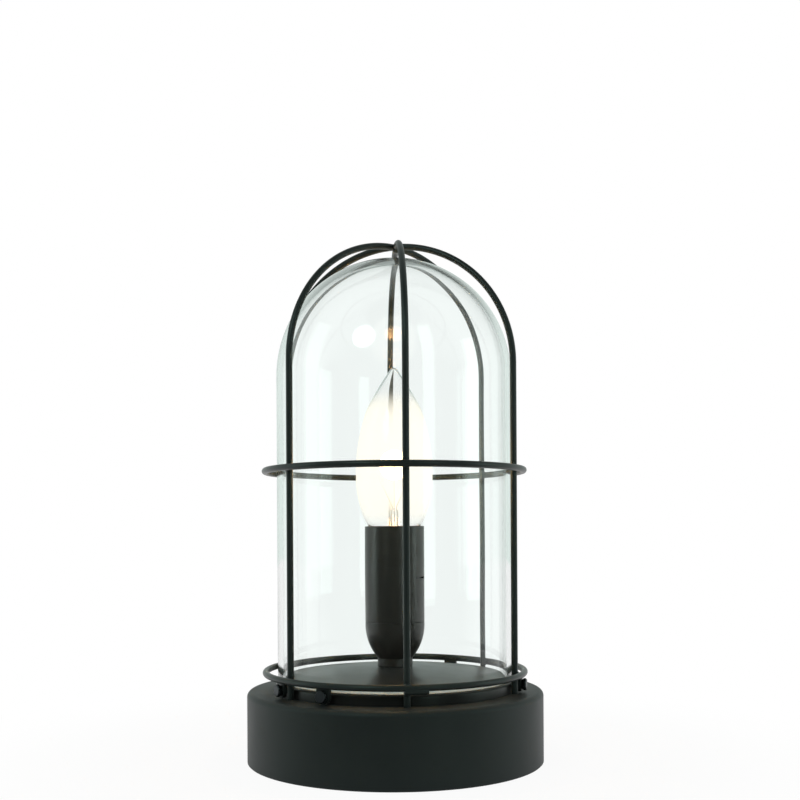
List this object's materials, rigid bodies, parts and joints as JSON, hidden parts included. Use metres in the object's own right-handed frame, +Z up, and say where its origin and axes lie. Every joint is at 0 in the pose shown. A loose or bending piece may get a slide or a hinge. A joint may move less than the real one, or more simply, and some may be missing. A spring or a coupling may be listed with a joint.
{
  "type": "caged table lamp",
  "caption": "Upright table lamp: round black base, clear glass dome under a black wire cage, and a lit candle bulb in a plain black lampholder.",
  "frame": {"origin": "centre of the base on the table", "axes": "+Z up along the lamp's axis, -Y towards the front of the picture, +X to the right in it"},
  "size_m": [0.14, 0.14, 0.246],
  "materials": {
    "black_coat": "satin black powder coat",
    "black_wire": "satin black powder coat on steel wire",
    "black_screw": "blackened steel",
    "clear_glass": "clear, polished",
    "bulb_glass": "clear, thin",
    "black_phenolic": "moulded, satin",
    "zinc_plate": "zinc plated",
    "cast_iron": "as cast",
    "rubber": "matt",
    "black_nylon": "moulded",
    "brass": "stamped",
    "nickel_cap": "nickel plated",
    "black_glass": "fused black glass",
    "solder": "soldered",
    "nickel_wire": "drawn wire",
    "filament": "tungsten, lit"
  },
  "bodies": {
    "base": {"base_shell": "black_coat", "gallery": "black_coat", "bottom_plate": "zinc_plate", "feet": "rubber", "plate_pillars": "zinc_plate", "plate_screws": "zinc_plate", "pillar_screws": "zinc_plate", "ballast_ring": "cast_iron", "cable_bush": "black_nylon", "nipple": "zinc_plate", "nipple_washer": "zinc_plate", "nipple_nut": "zinc_plate", "holder_cap": "black_phenolic", "holder_sleeve": "black_phenolic", "holder_core": "black_phenolic", "screw_shell": "brass", "centre_contact": "brass", "terminal_screws": "brass"},
    "glass": {"glass_dome": "clear_glass"},
    "cage": {"hoop_front": "black_wire", "hoop_right": "black_wire", "hoop_left": "black_wire", "mid_ring": "black_wire", "bottom_ring": "black_wire", "clamp_tabs": "black_wire"},
    "bulb": {"bulb_envelope": "bulb_glass", "bulb_cap": "nickel_cap", "bulb_insulator": "black_glass", "bulb_button": "solder", "bulb_stem": "bulb_glass", "lead_wires": "nickel_wire", "filament_support": "nickel_wire", "filament": "filament"},
    "clamp_front": {"clamp_screw_front": "black_screw"},
    "clamp_right": {"clamp_screw_right": "black_screw"},
    "clamp_rear": {"clamp_screw_rear": "black_screw"},
    "clamp_left": {"clamp_screw_left": "black_screw"}
  },
  "joints": [
    {"name": "cage_lift", "type": "slide", "parent": "base", "child": "cage", "axis": [0, 0, 1], "range_m": [0, 0.26]},
    {"name": "glass_lift", "type": "slide", "parent": "base", "child": "glass", "axis": [0, 0, 1], "range_m": [0, 0.1625]},
    {"name": "bulb_out", "type": "slide", "parent": "base", "child": "bulb", "axis": [0, 0, 1], "range_m": [0, 0.028]},
    {"name": "clamp_front_out", "type": "slide", "parent": "cage", "child": "clamp_front", "axis": [-0.515, -0.8572, 0], "range_m": [0, 0.003]},
    {"name": "clamp_left_out", "type": "slide", "parent": "cage", "child": "clamp_left", "axis": [-0.848, -0.5299, 0], "range_m": [0, 0.003]},
    {"name": "clamp_right_out", "type": "slide", "parent": "cage", "child": "clamp_right", "axis": [0.9659, -0.2588, 0], "range_m": [0, 0.003]},
    {"name": "clamp_rear_out", "type": "slide", "parent": "cage", "child": "clamp_rear", "axis": [0.5, 0.866, 0], "range_m": [0, 0.003]}
  ],
  "couplings": [
    {"joint": "glass_lift", "follows": "cage_lift", "ratio": 0.625}
  ]
}
